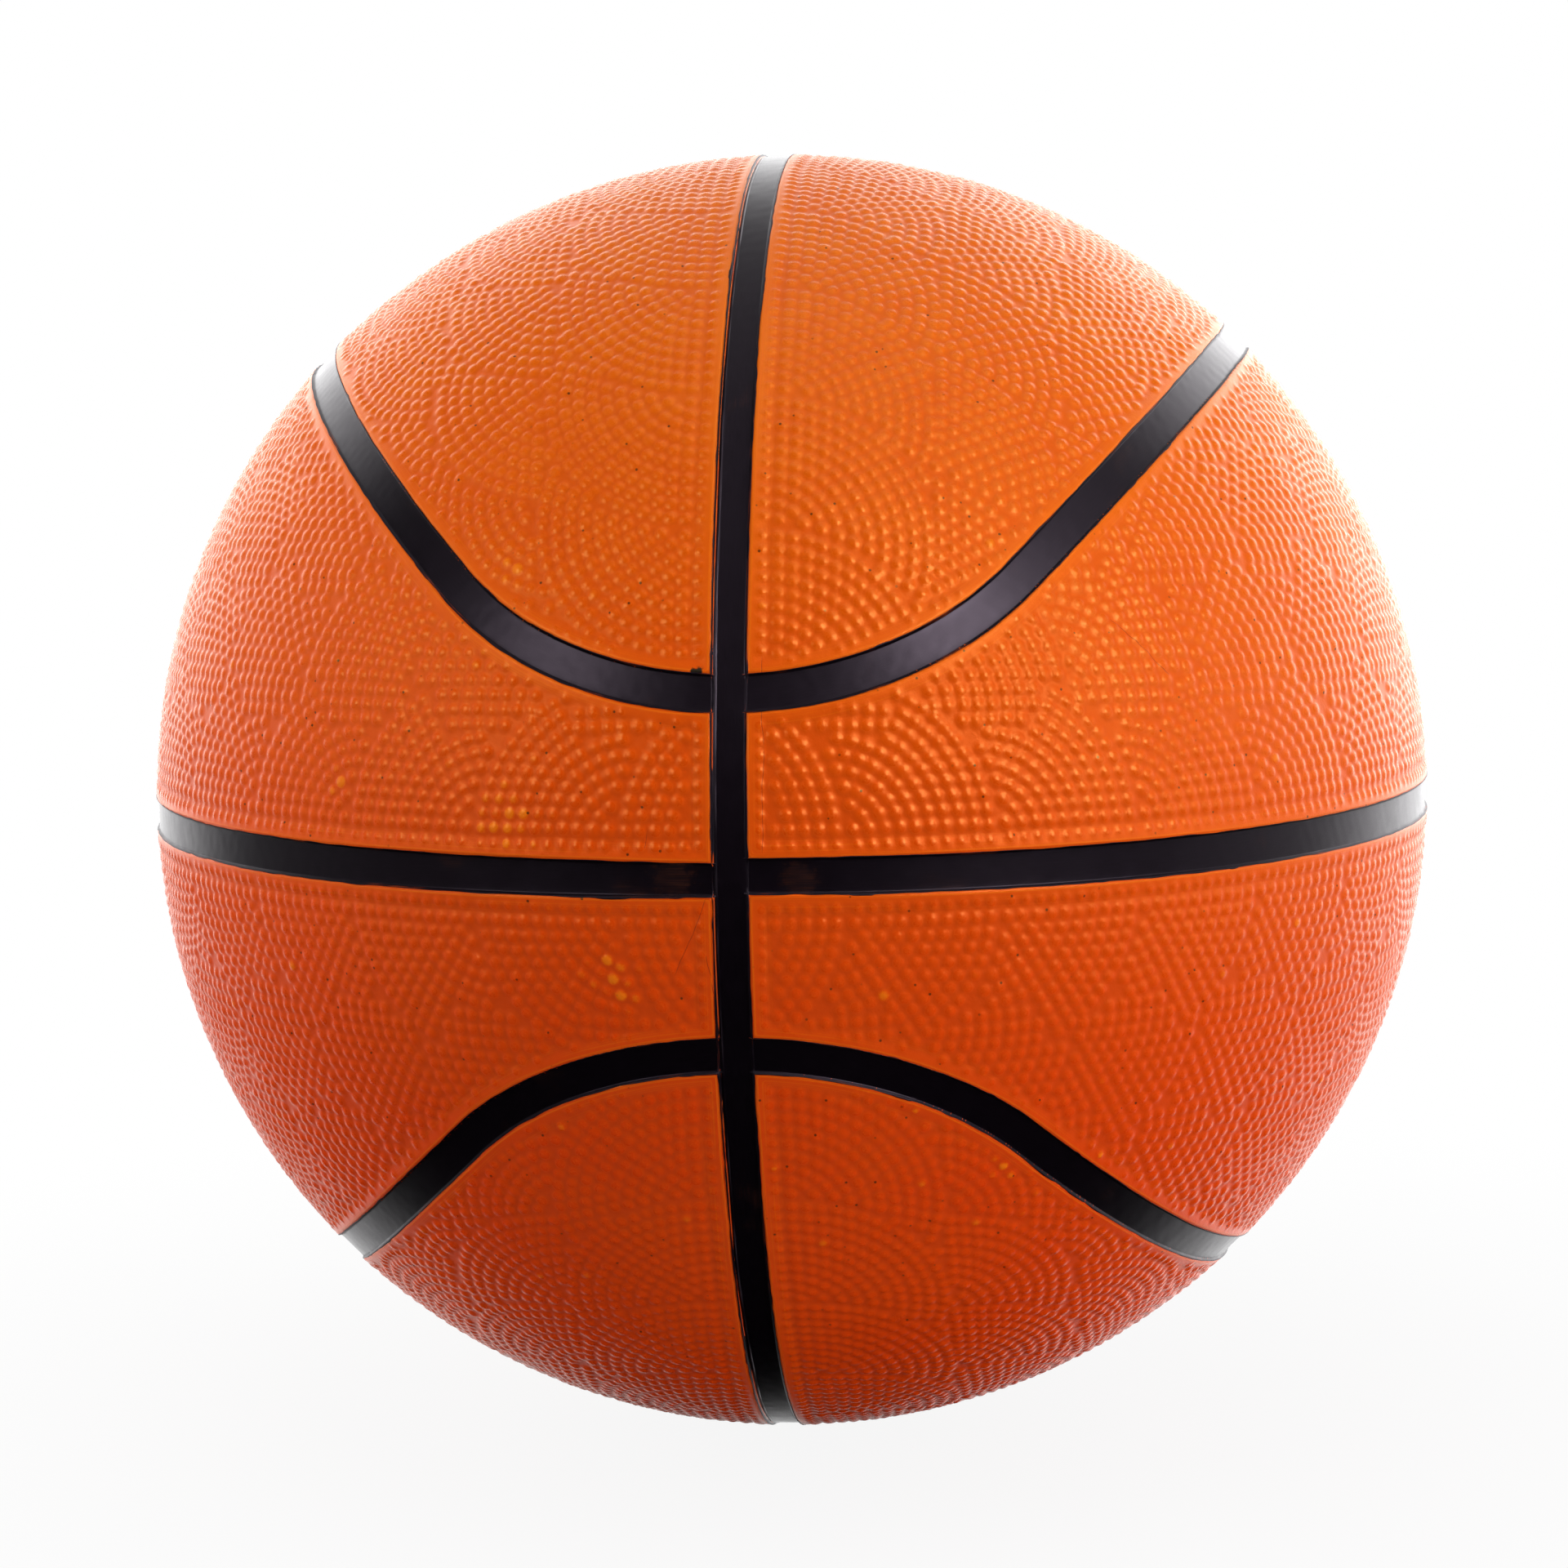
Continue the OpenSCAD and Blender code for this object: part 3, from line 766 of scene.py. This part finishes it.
# the moulded eyelet round the valve, and the plug's dished head with its needle hole
eyelet = smooth_profile([(3.6, BALL_R - 0.20), (3.35, BALL_R - 0.17), (VALVE_HOLE, BALL_R - 0.35),
                         (VALVE_HOLE, BALL_R - 1.3), (VALVE_HOLE, BALL_R - 2.0)])
pieces.append(turned("valve_eyelet", eyelet, "cover"))
head = smooth_profile([(0.0, BALL_R - 9.5), (0.8, BALL_R - 9.3), (1.0, BALL_R - 8.6), (1.0, BALL_R - 1.6),
                       (1.05, BALL_R - 1.05), (1.6, BALL_R - 0.80), (2.6, BALL_R - 0.55), (2.95, BALL_R - 0.62),
                       (3.0, BALL_R - 0.9), (3.0, BALL_R - 1.9), (2.5, BALL_R - 2.1), (2.5, BALL_R - 14.0),
                       (2.2, BALL_R - 14.4), (0.0, BALL_R - 14.5)])
pieces.append(turned("dished_valve_plug", head[::-1], "valve", replaces=("valve_plug",)))

for piece in pieces:
    piece.data.materials.append(finish[piece["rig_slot"]])
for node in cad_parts.values():
    node.data.materials[0] = finish[node.data.materials[0].name]


# ---------------------------------------------------------------- floor, light and camera
def studio_floor():
    """Pale matt paper, which shows plain white away from the ball and keeps its shadow near it."""
    f = Finish("pale_floor_paper")
    grain = f.noise(2.0, 3, 0.6)
    f.set(Base_Color=f.mix(grain, (0.38, 0.375, 0.37), (0.42, 0.415, 0.41)), Roughness=0.7,
          Normal=f.bump(grain, 0.05, 0.4))
    glow = f.node("Emission", {}, {"Color": (1.0, 1.0, 1.0), "Strength": 1.0}, 0)
    path = f.tree.nodes.new("ShaderNodeLightPath")
    seen = Wire(f, path.outputs["Is Camera Ray"]).maths("MAXIMUM", Wire(f, path.outputs["Is Glossy Ray"]))
    seen = seen.maths("MAXIMUM", Wire(f, path.outputs["Is Transmission Ray"]))
    apart = f.node("VectorMath", {"operation": "LENGTH"}, {0: f.place}, "Value").step(0.03, 0.32)
    both = f.node("MixShader", {}, {0: (apart * 0.09 + 0.91) * seen, 1: Wire(f, f.shader.outputs[0]), 2: glow}, 0)
    f.tree.links.new(both.socket, f.output.inputs["Surface"])
    return f.material


FLOOR_HALF = 6.0            # metres
ground = bpy.data.meshes.new("studio_floor")
corners = [(x * FLOOR_HALF, y * FLOOR_HALF, 0) for x, y in ((-1, -1), (1, -1), (1, 1), (-1, 1))]
ground.from_pydata(corners, [], [(0, 1, 2, 3)])
floor = bpy.data.objects.new("studio_floor", ground)
floor.location = (0, 0, -BALL_R * MM)
floor.visible_glossy = False
ground.materials.append(studio_floor())
bpy.context.scene.collection.objects.link(floor)


def soft_lamp(name, place, power):
    """A square soft light at a place in metres, facing the ball and hidden from reflections."""
    light = bpy.data.lights.new(name, "AREA")
    light.shape, light.size, light.size_y, light.energy = "RECTANGLE", LAMP_SIZE, LAMP_SIZE, power
    lamp = bpy.data.objects.new(name, light)
    lamp.location = place
    lamp.rotation_euler = (-Vector(place)).to_track_quat("-Z", "Y").to_euler()
    lamp.visible_glossy = False
    bpy.context.scene.collection.objects.link(lamp)


def facing(turn, rise):
    """The direction that lies turn degrees round from the front to the right and rise degrees up."""
    turn, rise = math.radians(turn), math.radians(rise)
    return math.sin(turn) * math.cos(rise), -math.cos(turn) * math.cos(rise), math.sin(rise)


# what lights the matt part of the surfaces: each lamp's direction from the ball and its watts
LAMP_SIZE, LAMP_DISTANCE = 0.7, 1.3     # metres
LAMPS = ((-100, 10, 6.4), (-75, 35, 2.6), (-55, 0, 3.7), (60, -3, 13.8), (95, 10, 4.4), (0, 75, 5.9), (180, 50, 1.6))
for k, (turn, rise, power) in enumerate(LAMPS):
    soft_lamp("soft_fill_%d" % k, tuple(LAMP_DISTANCE * c for c in facing(turn, rise)), power)

# what the gloss sees: round patches of light, each with its direction, the cosine of its reach and its level
ROOM = ((165, 20, 0.78, 1.05), (140, 20, 0.78, 2.85), (-165, 20, 0.78, 0.85), (-140, 20, 0.78, 1.95),
        (180, 0, 0.78, 1.4), (150, -15, 0.78, 1.6), (-150, -15, 0.78, 1.25), (100, 0, 0.78, 0.60),
        (-95, 0, 0.78, 0.25), (180, 75, 0.78, 0.65), (30, 58, 0.78, 0.50), (60, 35, 0.78, 0.70),
        (45, 15, 0.78, 0.25), (-50, 20, 0.78, 0.18), (42, 23, 0.96, 16.0), (42, 50, 0.94, 2.5),
        (-42, 22, 0.96, 7.0))
MATT_LEVEL = 0.24


def studio_world():
    """White behind for the eye. Reflections see a room that is dark on the camera's side and below, with soft light
    at the sides and above and white behind the ball; matt surfaces see an even grey."""
    made = bpy.data.worlds.new("white_studio")
    bpy.context.scene.world = made
    made.use_nodes = True
    w = Finish.__new__(Finish)              # only its node methods are used here, on the world's own nodes
    w.tree = made.node_tree
    path = w.tree.nodes.new("ShaderNodeLightPath")
    way = w.node("TexCoord", {}, {}, "Generated")
    room = 0
    for turn, rise, reach, level in ROOM:
        towards = w.node("VectorMath", {"operation": "DOT_PRODUCT"}, {0: way, 1: facing(turn, rise)}, "Value")
        room = towards.step(reach, 1.0) * level + room
    glossy = Wire(w, path.outputs["Is Glossy Ray"]).maths("MAXIMUM", Wire(w, path.outputs["Is Transmission Ray"]))
    eye = Wire(w, path.outputs["Is Camera Ray"])
    level = eye + (1 - eye) * (glossy * room + (1 - glossy) * MATT_LEVEL)
    w.feed(w.tree.nodes["Background"].inputs["Strength"], level)
    w.feed(w.tree.nodes["Background"].inputs["Color"], (1.0, 1.0, 1.0))


studio_world()

# the camera's place, aim and lens were fitted to where the channels cross and end in the photograph
CAMERA_DISTANCE = 0.8007    # metres
lens = bpy.data.cameras.new("photo_camera")
lens.lens, lens.sensor_width = 95.06, 36.0
lens.shift_x, lens.shift_y = -0.0050, 0.0035
camera = bpy.data.objects.new("photo_camera", lens)
right, up = Vector((0.9963, 0.0842, -0.0176)), Vector((0.0073, 0.1211, 0.9926))
behind = Vector((0.0857, -0.9891, 0.1201))
facing_ball = Matrix((right, up, behind)).transposed().to_4x4()
camera.matrix_world = Matrix.Translation(behind * CAMERA_DISTANCE) @ facing_ball
bpy.context.scene.collection.objects.link(camera)
bpy.context.scene.camera = camera
bpy.context.scene.view_settings.view_transform = "Standard"

bpy.context.view_layer.update()
